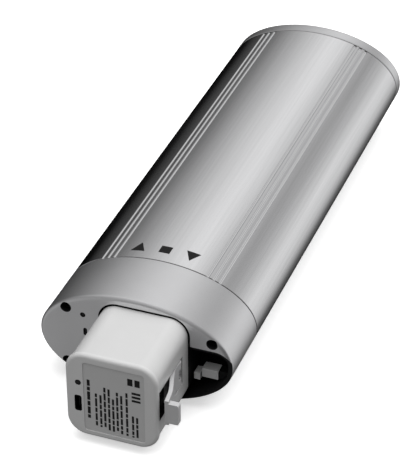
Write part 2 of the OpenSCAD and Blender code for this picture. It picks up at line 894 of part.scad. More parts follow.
// Lever with a thumb tab, drawn with Y counted from the pack's front face
module release_lever() {
    tab_half = 5.7;
    hook = [-9.3, -5.5];
    color([0.78, 0.78, 0.78]) translate([0, pack_front, 0]) difference() {
        union() {
            linear_extrude(height = 2 * lever_half, center = true) polygon([
                [25.2, lever_back], [25.6, 24.6], [27.6, 17.4], [30.2, 9.4], [31.3, 1],
                [33.2, 1], [32.1, 9.8], [29.5, 18], [27.8, 24.6], [27.6, lever_back]
            ]);
            translate([lever_x, lever_back, 0])
                cylinder(r = lever_eye_r, h = 2 * lever_half, center = true);
            block(33, 38.2, 1, 4, -tab_half, tab_half);
            translate([0, 0, hook[0]]) linear_extrude(height = hook[1] - hook[0])
                polygon([[31, 12.3], [33.4, 12.3], [33.4, 13], [30.2, 17.4], [29.4, 17.4]]);
        }
        translate([lever_x, lever_back, 0])
            cylinder(r = lever_pin_r + running, h = 2 * lever_half + 2, center = true);
        translate([lever_x - 3, lever_back - 2.2, -3]) cube([6, 5, 6]);
    }
}

module lever_pin() {
    color("silver") translate([lever_x, lever_y, 0])
        cylinder(r = lever_pin_r, h = 2 * lever_half + 4.4, center = true);
}

// Torsion spring round the lever's pin, drawn as its coils
module lever_spring() {
    turns = 4;
    wire = 0.25;
    color([0.5, 0.5, 0.52]) for (k = [0 : turns - 1])
        translate([lever_x, lever_y, (k - (turns - 1) / 2) * 1.1])
            rotate_extrude() translate([1.2, 0]) circle(r = wire, $fn = 16);
}

body_tube();
battery_end_cap();
latch_well();
latch_strike();
battery_cap_screws();
status_lens();
program_button();
cap_gaskets();
battery_bay();
contact_block();
contact_blades();
control_board();
board_components();
program_switch();
antenna_wire();
motor_bulkhead();
motor_damper();
motor_can();
motor_rear_cover();
motor_magnets();
motor_bearings();
motor_shaft();
motor_armature();
motor_pinion();
encoder_magnet();
encoder_board();
motor_leads();
motor_plate();
ring_gear();
planet(0, stage1_y);  // stage1_planet_a
planet(1, stage1_y);  // stage1_planet_b
planet(2, stage1_y);  // stage1_planet_c
carrier(carrier1_y, carrier1_len, sun_hub_r);  // stage1_carrier
pins(stage1_y - 0.6, carrier1_y + 2.2);  // stage1_pins
stage2_sun();
planet(0, stage2_y);  // stage2_planet_a
planet(1, stage2_y);  // stage2_planet_b
planet(2, stage2_y);  // stage2_planet_c
carrier(carrier2_y, carrier2_len, spindle_d / 2);  // stage2_carrier
pins(stage2_y - 0.4, carrier2_y + 3.4);  // stage2_pins
output_spindle();
output_bearings();
gearbox_cover();
gearbox_screws();
drive_end_cap();
drive_cap_screws();
mounting_inserts();
pack_shell();
pack_front_cover();
pack_rear_cover();
pack_contacts();
charge_socket();
charge_lens();
battery_cells();
cell_holders();
pack_boards();
release_lever();
lever_pin();
lever_spring();
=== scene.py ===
import json
import math

import bmesh
import bpy
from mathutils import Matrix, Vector


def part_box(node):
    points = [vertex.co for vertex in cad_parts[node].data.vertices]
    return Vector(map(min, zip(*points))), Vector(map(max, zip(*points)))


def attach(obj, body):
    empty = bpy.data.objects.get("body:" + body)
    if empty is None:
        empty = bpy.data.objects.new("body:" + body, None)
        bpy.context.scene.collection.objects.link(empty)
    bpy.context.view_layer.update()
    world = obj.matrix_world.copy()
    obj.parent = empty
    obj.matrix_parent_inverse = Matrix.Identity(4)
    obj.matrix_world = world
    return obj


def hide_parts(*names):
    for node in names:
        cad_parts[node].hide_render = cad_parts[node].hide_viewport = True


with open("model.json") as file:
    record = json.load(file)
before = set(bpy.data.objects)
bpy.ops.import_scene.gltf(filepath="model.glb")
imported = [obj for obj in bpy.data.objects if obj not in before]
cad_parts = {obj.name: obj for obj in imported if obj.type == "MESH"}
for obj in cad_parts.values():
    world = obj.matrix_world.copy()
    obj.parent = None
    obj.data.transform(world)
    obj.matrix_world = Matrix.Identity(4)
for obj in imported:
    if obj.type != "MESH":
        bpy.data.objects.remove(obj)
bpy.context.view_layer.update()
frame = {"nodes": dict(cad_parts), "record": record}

MM = 0.001
OVAL_STEPS = 288
CORNER = 10.0                             # the pack's corners, in millimetres like all sizes below
HOUSING = "housing"
PACK = "battery_pack"


# ---------- sizes, read from the frame, in millimetres ----------

def node_box(node):
    """Lowest and highest corner of a CAD node in millimetres."""
    low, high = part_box(node)
    return low / MM, high / MM


tube_low, tube_high = node_box("body_tube")
half_w, half_h = tube_high.x, tube_high.z
front_y = node_box("battery_end_cap")[0].y
drive_y = node_box("drive_end_cap")[1].y
cap_seam = tube_low.y
drive_seam = tube_high.y
gasket = cap_seam - node_box("cap_gaskets")[0].y
cover_low, cover_high = node_box("pack_front_cover")
shell_low, shell_high = node_box("pack_shell")
pack_x = (cover_low.x + cover_high.x) / 2
pack_w = cover_high.x - cover_low.x
pack_h = cover_high.z - cover_low.z
pack_front = cover_low.y
pin_low, pin_high = node_box("lever_pin")


# ---------- mesh building ----------

def quarter_turn(steps):
    """Angles from 0 to 90 degrees."""
    return [math.pi / 2 * i / steps for i in range(steps + 1)]


def oval_ring(y, inset=0.0):
    """Points of the housing's oval section at y, drawn in by inset."""
    angles = [2 * math.pi * i / OVAL_STEPS for i in range(OVAL_STEPS)]
    return [Vector(((half_w - inset) * math.cos(t), y, (half_h - inset) * math.sin(t))) for t in angles]


def rounded_ring(center, size, corner, y, steps=16):
    """Rounded rectangle in X and Z at y."""
    points = []
    for quarter in range(4):
        cx = center[0] + (1 if quarter in (0, 3) else -1) * (size[0] / 2 - corner)
        cz = center[1] + (1 if quarter < 2 else -1) * (size[1] / 2 - corner)
        for i in range(steps + 1):
            t = math.pi / 2 * (quarter + i / steps)
            points.append(Vector((cx + corner * math.cos(t), y, cz + corner * math.sin(t))))
    return points


def circle_ring(center, radius, y, steps):
    """Circle of the given radius round (x, z) at y."""
    angles = [2 * math.pi * i / steps for i in range(steps)]
    return [Vector((center[0] + radius * math.cos(t), y, center[1] + radius * math.sin(t))) for t in angles]


def circle_outline(center, radius, steps=32):
    """Points (x, y) of a circle seen along Z."""
    angles = [2 * math.pi * i / steps for i in range(steps)]
    return [(center.x + radius * math.cos(t), center.y + radius * math.sin(t)) for t in angles]


def new_piece(name, bm):
    """Turns a bmesh in millimetres into an object in metres, with outward normals."""
    bmesh.ops.recalc_face_normals(bm, faces=bm.faces)
    bmesh.ops.scale(bm, vec=(MM, MM, MM), verts=bm.verts)
    mesh = bpy.data.meshes.new(name)
    bm.to_mesh(mesh)
    bm.free()
    piece = bpy.data.objects.new(name, mesh)
    bpy.context.scene.collection.objects.link(piece)
    return piece


def add_loft(bm, rings, loop=False):
    """Skins rings of equal length; the ends get caps, or the last ring joins the first."""
    rows = [[bm.verts.new(p) for p in ring] for ring in rings]
    pairs = list(zip(rows, rows[1:]))
    if loop:
        pairs.append((rows[-1], rows[0]))
    count = len(rows[0])
    for row, after in pairs:
        for i in range(count):
            j = (i + 1) % count
            bm.faces.new((row[i], row[j], after[j], after[i]))
    if not loop:
        bm.faces.new(rows[0])
        bm.faces.new(rows[-1])


def loft(name, rings, loop=False):
    """Piece skinned over rings of points."""
    bm = bmesh.new()
    add_loft(bm, rings, loop)
    return new_piece(name, bm)


def prism(name, outline, low, high, axis="y"):
    """Straight bar over an outline of (a, b) points: X and Z along Y, or X and Y along Z."""
    place = {"y": lambda a, b, t: Vector((a, t, b)), "z": lambda a, b, t: Vector((a, b, t))}[axis]
    return loft(name, [[place(a, b, t) for a, b in outline] for t in (low, high)])


def block(name, low, high):
    """Box between two corners."""
    corners = [(low[0], low[2]), (high[0], low[2]), (high[0], high[2]), (low[0], high[2])]
    return prism(name, corners, low[1], high[1])


def lathe(name, center, profile, steps=48):
    """Solid of revolution round a Y axis; profile is a list of (radius, y), closed at its ends."""
    return loft(name, [circle_ring(center, max(r, 0.004), y, steps) for r, y in profile])


def ring_lathe(name, center, profile, steps=64):
    """Ring of revolution round a Y axis, its section the closed profile of (radius, y)."""
    return loft(name, [circle_ring(center, r, y, steps) for r, y in profile], loop=True)


def apply_modifiers(piece):
    """Bakes the piece's modifiers into its mesh."""
    graph = bpy.context.evaluated_depsgraph_get()
    mesh = bpy.data.meshes.new_from_object(piece.evaluated_get(graph))
    piece.modifiers.clear()
    piece.data = mesh


def combine(piece, others, operation="DIFFERENCE"):
    """Cuts the others out of the piece, or joins them to it, and removes them."""
    for other in others:
        step = piece.modifiers.new(operation.lower(), "BOOLEAN")
        step.operation = operation
        step.solver = "EXACT"
        step.object = other
        bpy.context.view_layer.update()
        apply_modifiers(piece)
        bpy.data.objects.remove(other)
    return piece


def join(name, parts):
    """Joins separate solids into one piece."""
    bm = bmesh.new()
    for part in parts:
        bm.from_mesh(part.data)
        bpy.data.objects.remove(part)
    bmesh.ops.scale(bm, vec=(1 / MM, 1 / MM, 1 / MM), verts=bm.verts)
    return new_piece(name, bm)


def soften(piece, width, angle=35.0, segments=2):
    """Smooth shading with real rounded edges of the given width in millimetres."""
    mesh = piece.data
    mesh.shade_smooth()
    mesh.set_sharp_from_angle(angle=math.radians(angle))
    if width > 0:
        bevel = piece.modifiers.new("rounded_edges", "BEVEL")
        bevel.width = width * MM
        bevel.segments = segments
        bevel.limit_method = "ANGLE"
        bevel.angle_limit = math.radians(angle)
        bevel.use_clamp_overlap = True
        bevel.harden_normals = True
    return piece


# ---------- materials ----------

MIX_COLOR_A, MIX_COLOR_B, MIX_COLOR_OUT = 6, 7, 2     # the Mix node's colour sockets


class Shader:
    """Small helper that builds one procedural material round a Principled shader."""

    def __init__(self, name, color, metallic=0.0, roughness=0.5):
        self.material = bpy.data.materials.new(name)
        self.material.use_nodes = True
        self.tree = self.material.node_tree
        self.tree.nodes.clear()
        self.output = self.add("ShaderNodeOutputMaterial")
        self.surface = self.add("ShaderNodeBsdfPrincipled")
        self.surface.inputs["Base Color"].default_value = (*color, 1)
        self.surface.inputs["Metallic"].default_value = metallic
        self.surface.inputs["Roughness"].default_value = roughness
        self.link(self.surface, "BSDF", self.output, "Surface")
        self.color = color
        self.roughness = roughness
        self.coords = self.add("ShaderNodeTexCoord")
        self.height = None

    def add(self, kind, **values):
        item = self.tree.nodes.new(kind)
        for key, value in values.items():
            setattr(item, key, value)
        return item

    def link(self, start, output, end, socket):
        self.tree.links.new(start.outputs[output], end.inputs[socket])

    def noise(self, scale, stretch=(1, 1, 1), detail=3.0, rough=0.55):
        """Noise with features about 1 / scale metres across, stretched along the axes."""
        mapping = self.add("ShaderNodeMapping")
        mapping.inputs["Scale"].default_value = stretch
        self.link(self.coords, "Object", mapping, "Vector")
        texture = self.add("ShaderNodeTexNoise")
        texture.inputs["Scale"].default_value = scale
        texture.inputs["Detail"].default_value = detail
        texture.inputs["Roughness"].default_value = rough
        self.link(mapping, "Vector", texture, "Vector")
        return texture

    def spread(self, source, low, high):
        """Maps a 0 to 1 value, clamped to its useful middle, onto low to high."""
        node = self.add("ShaderNodeMapRange")
        node.inputs["From Min"].default_value = 0.3
        node.inputs["From Max"].default_value = 0.7
        node.inputs["To Min"].default_value = low
        node.inputs["To Max"].default_value = high
        self.link(source, "Fac", node, "Value")
        return node

    def vary_color(self, source, amount):
        """Lightens and darkens the base colour by amount."""
        mix = self.add("ShaderNodeMix", data_type="RGBA")
        factor = self.spread(source, 0.0, 1.0)
        self.link(factor, "Result", mix, "Factor")
        dark = [c * (1 - amount) for c in self.color]
        light = [min(1, c * (1 + amount)) for c in self.color]
        mix.inputs[MIX_COLOR_A].default_value = (*dark, 1)
        mix.inputs[MIX_COLOR_B].default_value = (*light, 1)
        self.tree.links.new(mix.outputs[MIX_COLOR_OUT], self.surface.inputs["Base Color"])

    def vary_roughness(self, source, amount):
        """Makes the surface glossier and duller by amount."""
        node = self.spread(source, self.roughness - amount, self.roughness + amount)
        self.link(node, "Result", self.surface, "Roughness")

    def bump(self, source, distance, strength):
        """Adds surface relief of about distance millimetres, on top of any before it."""
        node = self.add("ShaderNodeBump")
        node.inputs["Distance"].default_value = distance * MM
        node.inputs["Strength"].default_value = strength
        self.link(source, "Fac", node, "Height")
        if self.height:
            self.link(self.height, "Normal", node, "Normal")
        self.link(node, "Normal", self.surface, "Normal")
        self.height = node


def anodised(name, color, roughness):
    """Satin anodised aluminium with extrusion lines along Y."""
    shader = Shader(name, color, metallic=1.0, roughness=roughness)
    lines = shader.noise(900, stretch=(1, 0.012, 1), detail=4)
    blotch = shader.noise(14, stretch=(1, 0.5, 1), detail=2)
    grain = shader.noise(5200, detail=1)
    shader.vary_color(lines, 0.035)
    shader.vary_roughness(blotch, 0.03)
    shader.bump(lines, 0.010, 0.18)
    shader.bump(grain, 0.008, 0.25)
    return shader.material


def moulded(name, color, roughness, grain=0.02, metallic=0.0, coat=0.0, shine=0.5):
    """Injection moulded plastic with a fine spark-eroded texture."""
    shader = Shader(name, color, metallic=metallic, roughness=roughness)
    cloud = shader.noise(35, detail=3)
    texture = shader.noise(3800, detail=2, rough=0.7)
    shader.vary_color(cloud, 0.03)
    shader.vary_roughness(texture, 0.05)
    shader.bump(texture, grain, 0.4)
    shader.surface.inputs["Coat Weight"].default_value = coat
    shader.surface.inputs["Specular IOR Level"].default_value = shine
    return shader.material


def machined(name, color, roughness, stretch=(1, 1, 1), lines=1500):
    """Bare or plated metal with tool marks."""
    shader = Shader(name, color, metallic=1.0, roughness=roughness)
    marks = shader.noise(lines, stretch=stretch, detail=3)
    stain = shader.noise(120, detail=3)
    shader.vary_color(stain, 0.06)
    shader.vary_roughness(marks, 0.08)
    shader.bump(marks, 0.012, 0.4)
    return shader.material


def rubber(name, color):
    """Matt black or coloured rubber with a little dust."""
    shader = Shader(name, color, roughness=0.75)
    dust = shader.noise(300, detail=4)
    skin = shader.noise(2600, detail=2)
    shader.vary_color(dust, 0.2)
    shader.bump(skin, 0.03, 0.5)
    return shader.material


def circuit(name, color):
    """Solder mask with traces showing through."""
    shader = Shader(name, color, roughness=0.35)
    traces = shader.add("ShaderNodeTexBrick")
    mapping = shader.add("ShaderNodeMapping")
    mapping.inputs["Rotation"].default_value = (0, math.radians(90), 0)
    shader.link(shader.coords, "Object", mapping, "Vector")
    shader.link(mapping, "Vector", traces, "Vector")
    traces.inputs["Scale"].default_value = 260
    traces.inputs["Mortar Size"].default_value = 0.05
    shader.vary_color(traces, 0.35)
    shader.bump(traces, 0.03, 0.4)
    shader.surface.inputs["Coat Weight"].default_value = 0.4
    return shader.material


def wound(name, color):
    """Enamelled copper wire, in turns along the armature."""
    shader = Shader(name, color, metallic=0.9, roughness=0.35)
    turns = shader.add("ShaderNodeTexWave", bands_direction="Z")
    shader.link(shader.coords, "Object", turns, "Vector")
    turns.inputs["Scale"].default_value = 400
    shader.vary_color(turns, 0.25)
    shader.bump(turns, 0.08, 0.6)
    return shader.material


def smoked(name, color):
    """Smoked clear window of a light."""
    shader = Shader(name, color, roughness=0.3)
    haze = shader.noise(900, detail=2)
    shader.vary_roughness(haze, 0.06)
    shader.bump(haze, 0.01, 0.3)
    shader.surface.inputs["Specular IOR Level"].default_value = 0.25
    return shader.material


MATERIALS = {
    "anodised_tube": anodised("anodised_tube", (0.74, 0.74, 0.75), 0.20),
    "silver_plastic": moulded("silver_plastic", (0.68, 0.68, 0.69), 0.32, metallic=0.92),
    "black_plastic": moulded("black_plastic", (0.006, 0.006, 0.0065), 0.6, shine=0.2),
    "grey_plastic": moulded("grey_plastic", (0.20, 0.20, 0.205), 0.5),
    "black_steel": machined("black_steel", (0.016, 0.016, 0.017), 0.42),
    "zinc_steel": machined("zinc_steel", (0.62, 0.62, 0.63), 0.28),
    "smoked_lens": smoked("smoked_lens", (0.008, 0.008, 0.009)),
    "seal_rubber": rubber("seal_rubber", (0.018, 0.018, 0.018)),
    "pack_white": moulded("pack_white", (0.54, 0.54, 0.54), 0.36, grain=0.012, coat=0.1),
    "pack_grey": moulded("pack_grey", (0.58, 0.58, 0.58), 0.42, grain=0.015),
    "contact_brass": machined("contact_brass", (0.80, 0.62, 0.30), 0.25),
    "circuit_board": circuit("circuit_board", (0.02, 0.14, 0.06)),
    "electronics": moulded("electronics", (0.03, 0.03, 0.033), 0.5),
    "magnet": machined("magnet", (0.14, 0.14, 0.15), 0.5),
    "windings": wound("windings", (0.50, 0.22, 0.08)),
    "bronze": machined("bronze", (0.60, 0.42, 0.20), 0.4),
    "gear_plastic": moulded("gear_plastic", (0.72, 0.69, 0.58), 0.42),
    "cell_wrap": moulded("cell_wrap", (0.10, 0.22, 0.42), 0.25, grain=0.01, coat=0.5),
    "lead_red": rubber("lead_red", (0.35, 0.02, 0.02)),
    "lever_grey": moulded("lever_grey", (0.46, 0.46, 0.465), 0.36, grain=0.01),
    "latch_grey": moulded("latch_grey", (0.55, 0.55, 0.55), 0.4),
    "label_grey": moulded("label_grey", (0.49, 0.49, 0.49), 0.5, grain=0.004),
    "print_black": moulded("print_black", (0.008, 0.008, 0.008), 0.6, grain=0.004, shine=0.2),
}


def paint(piece, *names):
    """Gives a piece its materials, the first on all faces unless they are marked."""
    if piece.data.materials:
        piece.data.materials.clear()
    for name in names:
        piece.data.materials.append(MATERIALS[name])
    return piece


def mark_faces(cutter, index, *names):
    """Marks a cutter so that the surfaces it leaves take the material of that index."""
    paint(cutter, *names)
    for face in cutter.data.polygons:
        face.material_index = index
    return cutter


def dark(cutter, main):
    """Marks a cutter so that the surfaces it leaves are black, on a piece of the main material."""
    return mark_faces(cutter, 1, main, "black_plastic")


def settle(piece, body, slot, *nodes, material=None):
    """Gives a finished piece its body and material, and hides the CAD nodes it stands for."""
    if len(piece.data.materials) < 2:
        paint(piece, material or slot)
    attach(piece, body)
    if nodes:
        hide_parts(*nodes)
    return piece


# ---------- camera, lights and stage ----------

def make_camera():
    """The camera stands in front of the battery end, above and to the right."""
    camera = bpy.data.objects.new("camera", bpy.data.cameras.new("camera"))
    camera.location = Vector((315.2, front_y - 746.3, 619.7)) * MM
    camera.rotation_euler = (math.radians(90 - 34.26), 0, math.radians(20.32))
    camera.data.lens = 163.55
    camera.data.sensor_width = 36
    camera.data.clip_end = 20
    bpy.context.scene.collection.objects.link(camera)
    bpy.context.scene.camera = camera


def make_light(name, location, target, size, power):
    """Square softbox that lights the diffuse surfaces; the studio's strips make the reflections."""
    data = bpy.data.lights.new(name, "AREA")
    data.shape = "SQUARE"
    data.size = size
    data.energy = power
    light = bpy.data.objects.new(name, data)
    light.location = location
    light.rotation_euler = (Vector(target) - Vector(location)).to_track_quat("-Z", "Y").to_euler()
    light.visible_glossy = False
    bpy.context.scene.collection.objects.link(light)


# Brightness round the object's long axis, as (degrees up from +X towards +Z, brightness)
STRIPS = [(-180, 0.045), (-166, 0.0), (-100, 0.0), (-60, 0.12), (-20, 0.70), (12, 0.88), (35, 0.60),
          (57, 0.38), (78, 0.60), (98, 1.0), (116, 0.74), (146, 0.25), (165, 0.075), (180, 0.045)]
FRONT_LEFT, FRONT_RIGHT = 0.40, 0.08     # brightness low in front of the object
NEAR_FADE = 0.6                           # the strips' brightness at the viewer's end


def make_world():
    """Studio with long soft strips parallel to the tube, and a plain grey low in front."""
    world = bpy.data.worlds.new("studio")
    bpy.context.scene.world = world
    world.use_nodes = True
    tree = world.node_tree
    new, link = tree.nodes.new, tree.links.new
    split = new("ShaderNodeSeparateXYZ")
    link(new("ShaderNodeTexCoord").outputs["Generated"], split.inputs["Vector"])

    def ramp(source, start, end, low, high, kind="SMOOTHSTEP"):
        node = new("ShaderNodeMapRange")
        node.interpolation_type = kind
        for socket, value in zip(("From Min", "From Max", "To Min", "To Max"), (start, end, low, high)):
            node.inputs[socket].default_value = value
        link(source, node.inputs["Value"])
        return node.outputs["Result"]

    def math_node(operation, first, second):
        node = new("ShaderNodeMath")
        node.operation = operation
        link(first, node.inputs[0])
        link(second, node.inputs[1])
        return node.outputs["Value"]

    x, y, z = (split.outputs[axis] for axis in "XYZ")
    angle = math_node("ARCTAN2", z, x)
    strips = new("ShaderNodeValToRGB")
    stops = strips.color_ramp.elements
    for degrees, value in STRIPS[1:-1]:
        stops.new(degrees / 360 + 0.5).color = (value, value, value, 1)
    for stop, (_, value) in ((stops[0], STRIPS[0]), (stops[-1], STRIPS[-1])):
        stop.color = (value, value, value, 1)
    link(ramp(angle, -math.pi, math.pi, 0, 1, "LINEAR"), strips.inputs["Fac"])
    brightness = math_node("MULTIPLY", strips.outputs["Color"], ramp(y, -0.5, 0.3, NEAR_FADE, 1))
    low_front = math_node("MULTIPLY", ramp(y, 0.25, -0.35, 0, 1), ramp(z, 0.75, 0.2, 0, 1))
    grey = ramp(x, -0.7, 0.7, FRONT_LEFT, FRONT_RIGHT, "LINEAR")
    mix = new("ShaderNodeMix")
    for source, socket in zip((low_front, brightness, grey), ("Factor", "A", "B")):
        link(source, mix.inputs[socket])
    link(mix.outputs["Result"], tree.nodes["Background"].inputs["Color"])


FLOOR_GLOW, SWEEP_GLOW = 0.45, 1.0
FLOOR_HALF = 2000                         # half the floor's width
SWEEP_START, SWEEP_BEND = 1900, 600       # radius where the paper starts to rise, radius of its bend
SWEEP_HEIGHT = 1800
SWEEP_STEPS = 96


def hang_paper(name, bm, glow):
    """Pale paper, lit from behind so that shadows stay faint; it casts no light on the object."""
    paper = new_piece(name, bm)
    paper.location = Vector((0, front_y / 2, -half_h)) * MM
    shader = Shader(name + "_paper", (0.92, 0.92, 0.92), roughness=0.9)
    shader.vary_color(shader.noise(6, detail=2), 0.01)
    shader.surface.inputs["Emission Color"].default_value = (1, 1, 1, 1)
    shader.surface.inputs["Emission Strength"].default_value = glow
    paper.data.materials.append(shader.material)
    paper.visible_glossy = False
    paper.visible_diffuse = False
    paper.visible_shadow = False


def make_stage():
    """Flat floor, and a sweep of paper that rises all round it."""
    floor = bmesh.new()
    bmesh.ops.create_grid(floor, x_segments=8, y_segments=8, size=FLOOR_HALF)
    hang_paper("floor", floor, FLOOR_GLOW)
    bends = [math.radians(angle) for angle in range(0, 91, 10)]
    profile = [(SWEEP_START + SWEEP_BEND * math.sin(t), SWEEP_BEND * (1 - math.cos(t))) for t in bends]
    profile.append((SWEEP_START + SWEEP_BEND, SWEEP_HEIGHT))
    turns = [2 * math.pi * i / SWEEP_STEPS for i in range(SWEEP_STEPS)]
    sweep = bmesh.new()
    rows = [[sweep.verts.new((r * math.cos(t), r * math.sin(t), z)) for t in turns] for r, z in profile]
    for row, above in zip(rows, rows[1:]):
        for i in range(len(turns)):
            sweep.faces.new((row[i - 1], row[i], above[i], above[i - 1]))
    hang_paper("backdrop", sweep, SWEEP_GLOW)


# ---------- housing ----------

GROOVES = 3                               # on either side of the middle
GROOVE_FIRST = 24.4
GROOVE_PITCH = 3.2
GROOVE_R = 0.9
GROOVE_DEPTH = 0.55
EDGE_STEPS = 8                            # steps round a moulding's rounded edge
LENS = (-26.7, 13.8)                      # places on the end faces as (x, z)
BUTTON = (-25.7, 3.9)
LEFT_SCREW = (35.6, 16.2)
RIGHT_SCREW = (39.8, 13.1)
INSERT = (26, 14)
COVER_SCREW_RING = 18.4                   # radius on which the gearbox cover's screws sit
RECESS_R = 2.6                            # recess of a cap screw
HOLE_R = 2.8                              # hole for an insert or a cover screw
CAP_EDGE = 2.2                            # radius of a cap's outer edge
POCKET_DEPTH = 25.6
POCKET_LIP = 1.45                         # the pocket's moulding wraps this much of the cap's edge


def groove_depth(x):
    """Depth of the scooped grooves at a distance x from the middle."""
    for k in range(GROOVES):
        off = abs(abs(x) - (GROOVE_FIRST + k * GROOVE_PITCH))
        if off < GROOVE_R:
            return max(0.0, math.sqrt(GROOVE_R ** 2 - off ** 2) - (GROOVE_R - GROOVE_DEPTH))
    return 0.0


def tube_angles():
    """Angles round the oval, closely spaced where the grooves are."""
    coarse, fine = 1.25, 0.125
    quarter = []
    angle = 0.0
    while angle < 90 - 1e-6:
        quarter.append(angle)
        x = half_w * math.cos(math.radians(angle))
        near = GROOVE_FIRST - 1.5 < x < GROOVE_FIRST + GROOVES * GROOVE_PITCH
        angle += fine if near else coarse
    right = quarter + [90.0]
    upper = right + [180 - a for a in reversed(quarter)]
    return [math.radians(a) for a in upper + [360 - a for a in reversed(upper[1:-1])]]


def make_tube():
    """Extruded oval tube with grooves, its edges chamfered at both seams."""
    wall, chamfer = 1.8, 0.15
    skin = 0.03                           # room for the print on top
    angles = tube_angles()

    def outer(y, inset):
        ring = []
        for t in angles:
            x, z = half_w * math.cos(t), half_h * math.sin(t)
            slope = Vector((x / half_w ** 2, z / half_h ** 2)).normalized()
            depth = skin + inset + groove_depth(x)
            ring.append(Vector((x - slope.x * depth, y, z - slope.y * depth)))
        return ring

    def inner(y):
        a, b = half_w - wall, half_h - wall
        return [Vector((a * math.cos(t), y, b * math.sin(t))) for t in angles]

    piece = loft("body_tube_profile", [
        inner(cap_seam), outer(cap_seam, chamfer), outer(cap_seam + chamfer, 0),
        outer(drive_seam - chamfer, 0), outer(drive_seam, chamfer), inner(drive_seam),
    ], loop=True)
    soften(piece, 0, angle=28)
    settle(piece, HOUSING, "anodised_tube", "body_tube")


def cap_body(name, face_y, seam_y, skin, radius):
    """Hollow oval cup whose face has a rounded edge."""
    wall, edge, fillet = 2.0, 0.2, 0.8
    way = 1 if seam_y > face_y else -1
    floor_y = face_y + way * skin
    rings = [oval_ring(face_y + way * radius * (1 - math.cos(t)), radius * (1 - math.sin(t)))
             for t in quarter_turn(EDGE_STEPS)]
    rings += [oval_ring(seam_y - way * edge), oval_ring(seam_y, edge), oval_ring(seam_y, wall)]
    rings += [oval_ring(floor_y + way * fillet, wall), oval_ring(floor_y, wall + fillet)]
    return loft(name, rings)


def battery_screws():
    """Places of the three screws in the near end cap."""
    return [(-LEFT_SCREW[0], LEFT_SCREW[1]), (-LEFT_SCREW[0], -LEFT_SCREW[1]), RIGHT_SCREW]


def drive_screws():
    """Places of the four screws in the drive end cap."""
    return battery_screws() + [(RIGHT_SCREW[0], -RIGHT_SCREW[1])]


def insert_places():
    """Places of the four threaded inserts in the drive end cap."""
    return [(INSERT[0] * sx, INSERT[1] * sz) for sx in (-1, 1) for sz in (-1, 1)]


def pocket_region(low, high):
    """Everything right of the pack and under the pocket's top edge."""
    left, top, corner = 24.0, 9.0, 9.0
    right = half_w + 0.2
    cx, cz = right - corner, top - corner
    arc = [(cx + corner * math.cos(t), cz + corner * math.sin(t)) for t in quarter_turn(12)]
    outline = [(left, -half_h), (right, -half_h)] + arc + [(left, top)]
    return prism("pocket_region", outline, low, high)


def pocket_cutter():
    """The pocket beside the pack, inside a thin rim of the oval."""
    rim = 0.7
    inside = loft("inside", [oval_ring(y, rim) for y in (front_y - 2, front_y + POCKET_DEPTH + 1)])
    return combine(pocket_region(front_y - 1, front_y + POCKET_DEPTH), [inside], "INTERSECT")


def make_battery_cap():
    """Near end cap with the pack's opening, the pocket and the small holes beside it."""
    face, gap, flare = 3.0, 0.45, 0.3
    cap = cap_body("battery_end_cap_shell", front_y, cap_seam - gasket, face, CAP_EDGE)
    paint(cap, "silver_plastic", "black_plastic")
    ahead, back = front_y - 1, front_y + face + 1
    cutters = [loft("opening", [
        rounded_ring((pack_x, 0), (pack_w + 2 * gap, pack_h + 2 * gap), CORNER + gap, y)
        for y in (ahead, back)])]
    cutters += [pocket_region(ahead, front_y + POCKET_LIP), pocket_cutter()]
    for at in battery_screws():
        cutters.append(lathe("recess", at, [(RECESS_R, front_y + flare), (RECESS_R, back)]))
        cutters.append(lathe("mouth", at, [
            (RECESS_R + flare, ahead), (RECESS_R + flare, front_y), (RECESS_R, front_y + flare)]))
    cutters.append(lathe("lens_hole", LENS, [(1.4, ahead), (1.4, back)]))
    cutters.append(loft("button_hole", [rounded_ring(BUTTON, (2.0, 4.5), 0.98, y, 8) for y in (ahead, back)]))
    # Every wall these cutters leave is black: painted shade in the pack's opening gap, the pocket and its lip,
    # the screw recesses and the lens and button holes.
    combine(cap, [dark(cutter, "silver_plastic") for cutter in cutters])
    soften(cap, 0.28, angle=38)
    settle(cap, HOUSING, "silver_plastic", "battery_end_cap")


def make_strike():
    """Block that the lever's hook snaps behind, and the guide beside the pack, both on black roots."""
    low, high = node_box("latch_strike")
    guide_x, guide_z = (low.x, 31.9), (-13.8, -9.8)
    strike_x, strike_z = (32.4, 40.8), (-12.4, high.z)
    start, end = front_y + 6.2, front_y + 12
    strike = block("strike", (strike_x[0], start, strike_z[0]), (strike_x[1], end, strike_z[1]))
    root = block("root", (strike_x[1] - 0.1, start + 0.9, strike_z[0]), (half_w, end, strike_z[1] - 0.2))
    combine(root, [loft("inside", [oval_ring(y, 2.02) for y in (start - 1, end + 1)])], "INTERSECT")
    guide = block("guide", (guide_x[0], low.y, guide_z[0]), (guide_x[1], low.y + 5.8, guide_z[1]))
    tail = block("tail", (guide_x[0] + 0.2, low.y + 5.7, guide_z[0]),
                 (guide_x[1] - 0.2, high.y, guide_z[1] - 0.6))
    names = ("latch_grey", "black_plastic")
    piece = join("latch_strike_moulding", [
        paint(strike, *names), dark(root, names[0]), paint(guide, *names), dark(tail, names[0])])
    paint(piece, *names)
    soften(piece, 0.35, segments=3)
    settle(piece, HOUSING, "grey_plastic", "latch_strike")


